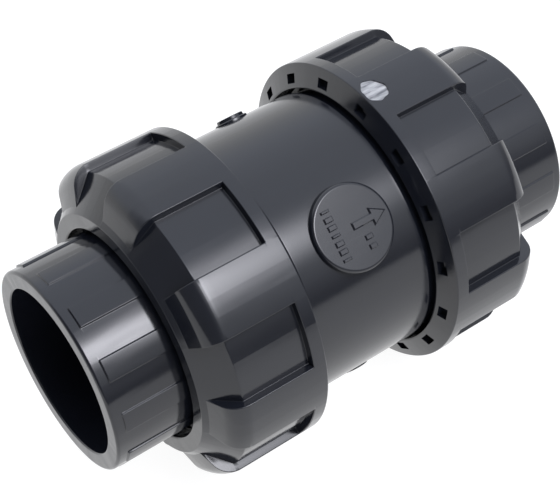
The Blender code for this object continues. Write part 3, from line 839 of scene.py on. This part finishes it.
def build_hardware():
    """Stem, nut, washers, bush and spring."""
    place(stem(), steel("stem_steel", BRIGHT, 0.2, 1, True), "poppet", ["poppet_stem"])
    plate_washer = washer("plate_washer", -37.3, -36.2, 4.4, 8.0)
    place(plate_washer, steel("plate_washer_steel", BRIGHT, 0.26, 2), "poppet", ["clamp_washer"])
    place(hex_nut(), steel("hex_nut_steel", BRIGHT, 0.24, 3), "poppet", ["clamp_nut"])
    bush = turned("stem_bush", [(11.6, 4.08, 0.3), (11.6, 7.0, 0.4), (26.4, 7.0, 0.4), (26.4, 4.08, 0.3)], 72)
    place(bush, ptfe("bush_plastic"), "valve", ["guide_bush"])
    spring_washer = washer("spring_washer", 9.5, 10.7, 4.7, 11.6)
    place(spring_washer, steel("spring_washer_steel", BRIGHT, 0.26, 4), "valve", ["spring_seat_washer"])
    coil = place(spring(), steel("spring_steel", WIRE_GREY, 0.22, 5), "valve", ["return_spring"])
    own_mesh(coil)


# ---------------------------------------------------------------- studio
# lengths from here on are metres
LENS, LENS_SHIFT = 99.38, (0.0075, -0.0236)
CAMERA_AT = Vector((-0.18219, -0.24461, 0.33207))
CAMERA_FORWARD = (0.39861, 0.55071, -0.73337)
CAMERA_RIGHT = (0.80752, -0.58982, -0.0040)
FLOOR_HALF = 4.0
FLOOR_GREY, FLOOR_GLOW = 0.18, 0.93

OVERHEAD = (0.97, 1.02, 1.13, 1.0)
# studio colours by height: 0 is level with the valve, 1 straight above it
WALLS = [(0.0, grey(1.0)), (0.25, (0.95, 0.97, 1.0, 1.0)), (0.5, OVERHEAD), (1.0, OVERHEAD)]
OPEN_SIDE = [(0.0, grey(0.12)), (0.14, grey(0.30)), (0.26, (0.47, 0.48, 0.51, 1.0)),
             (0.42, (0.74, 0.76, 0.80, 1.0)), (0.64, (0.97, 1.01, 1.09, 1.0)), (1.0, OVERHEAD)]
OPEN_TOWARDS, OPEN_FROM, OPEN_FULL = (0.41, -0.91, 0.0), 0.25, 0.80
CURTAIN_TOWARDS, CURTAIN_FROM, CURTAIN_FULL = (-0.855, -0.352, 0.382), 0.40, 0.78
CURTAIN_GREY = 0.16
ROOM_STRENGTH = 1.20

KEY_AT = Vector((0.105, -0.410, 0.600))
KEY_WIDE, KEY_TALL = 0.80, 0.66
KEY_SPREAD_WIDE, KEY_SPREAD_TALL = 0.185, 0.158
KEY_COLOUR = (0.97, 0.97, 1.04, 1.0)
# a light of 1 W is spread over pi times its area, so this gain makes its middle 12.3 bright
KEY_GAIN = 12.3 * pi * KEY_WIDE * KEY_TALL


def look_frame(forward, right):
    f, r = Vector(forward).normalized(), Vector(right).normalized()
    up = r.cross(f).normalized()
    return Matrix((r, up, -f)).transposed()


def camera(scene):
    cam = bpy.data.cameras.new("camera")
    cam.sensor_width = 36.0
    cam.sensor_fit = "HORIZONTAL"
    cam.lens = LENS
    cam.shift_x, cam.shift_y = LENS_SHIFT
    cam.clip_start, cam.clip_end = 0.01, 20.0
    holder = bpy.data.objects.new("camera", cam)
    scene.collection.objects.link(holder)
    turn = look_frame(CAMERA_FORWARD, CAMERA_RIGHT).to_4x4()
    holder.matrix_world = Matrix.Translation(CAMERA_AT) @ turn
    scene.camera = holder


def white_table(scene):
    """Glowing white sheet that the valve lies on."""
    z = cad_box[0][2]
    me = bpy.data.meshes.new("floor")
    corners = [(FLOOR_HALF * sx, FLOOR_HALF * sy, z) for sx, sy in ((-1, -1), (1, -1), (1, 1), (-1, 1))]
    me.from_pydata(corners, [], [(0, 1, 2, 3)])
    floor = bpy.data.objects.new("floor", me)
    scene.collection.objects.link(floor)
    white = bpy.data.materials.new("floor_white")
    white.use_nodes = True
    sockets = white.node_tree.nodes["Principled BSDF"].inputs
    sockets["Base Color"].default_value = grey(FLOOR_GREY)
    sockets["Roughness"].default_value = 0.7
    sockets["Emission Color"].default_value = grey(1.0)
    sockets["Emission Strength"].default_value = FLOOR_GLOW
    me.materials.append(white)


def vector_maths(tree, operation, a, b):
    """Two vectors, each another node's output or a value."""
    n = node(tree, "ShaderNodeVectorMath", operation=operation)
    for source, socket in ((a, n.inputs[0]), (b, n.inputs[1])):
        if isinstance(source, bpy.types.NodeSocket):
            tree.links.new(source, socket)
        else:
            socket.default_value = source
    return n.outputs["Value" if operation == "DOT_PRODUCT" else "Vector"]


def facing(tree, ray, towards, from_share, full_share):
    """0 for rays that look away from a direction, rising smoothly to 1 for rays that look along it."""
    n = node(tree, "ShaderNodeMapRange", interpolation_type="SMOOTHSTEP", clamp=True)
    tree.links.new(vector_maths(tree, "DOT_PRODUCT", ray, towards), n.inputs["Value"])
    n.inputs["From Min"].default_value = from_share
    n.inputs["From Max"].default_value = full_share
    return n.outputs["Result"]


def room(scene):
    """White studio walls and ceiling: open and darker in front of the table, a curtain at its inlet end."""
    world = bpy.data.worlds.new("studio")
    scene.world = world
    world.use_nodes = True
    t = world.node_tree
    ray = t.nodes.new("ShaderNodeTexCoord").outputs["Generated"]
    split = node(t, "ShaderNodeSeparateXYZ", Vector=ray)
    height = node(t, "ShaderNodeMapRange", clamp=True, Value=split.outputs["Z"]).outputs["Result"]
    open_share = facing(t, ray, OPEN_TOWARDS, OPEN_FROM, OPEN_FULL)
    around_table = mixed(t, open_share, ramp(t, height, WALLS), ramp(t, height, OPEN_SIDE))
    curtain_share = facing(t, ray, CURTAIN_TOWARDS, CURTAIN_FROM, CURTAIN_FULL)
    seen = mixed(t, curtain_share, around_table, grey(CURTAIN_GREY))
    background = t.nodes["Background"]
    t.links.new(seen, background.inputs["Color"])
    background.inputs["Strength"].default_value = ROOM_STRENGTH


def key_light(scene):
    """Softbox that is brightest at its middle and fades out towards its edges."""
    light = bpy.data.lights.new("softbox", "AREA")
    light.shape = "RECTANGLE"
    light.size, light.size_y = KEY_WIDE, KEY_TALL
    light.energy = 1.0
    light.use_nodes = True
    t = light.node_tree
    spot = t.nodes.new("ShaderNodeNewGeometry").outputs["Parametric"]
    centred = vector_maths(t, "SUBTRACT", spot, (0.5, 0.5, 0.0))
    spreads = (KEY_WIDE / KEY_SPREAD_WIDE, KEY_TALL / KEY_SPREAD_TALL, 0.0)
    scaled = vector_maths(t, "MULTIPLY", centred, spreads)
    value = vector_maths(t, "DOT_PRODUCT", scaled, scaled)
    for operation, by in (("MULTIPLY", -1.0), ("EXPONENT", 0.0), ("MULTIPLY", KEY_GAIN)):
        n = node(t, "ShaderNodeMath", operation=operation)
        t.links.new(value, n.inputs[0])
        n.inputs[1].default_value = by
        value = n.outputs[0]
    emission = t.nodes["Emission"]
    emission.inputs["Color"].default_value = KEY_COLOUR
    t.links.new(value, emission.inputs["Strength"])
    holder = bpy.data.objects.new("softbox", light)
    scene.collection.objects.link(holder)
    holder.location = KEY_AT
    holder.rotation_euler = (-KEY_AT).to_track_quat("-Z", "Y").to_euler()


build_shell()
build_inside()
build_hardware()
camera(bpy.context.scene)
white_table(bpy.context.scene)
room(bpy.context.scene)
key_light(bpy.context.scene)
bpy.context.scene.view_settings.view_transform = "Standard"
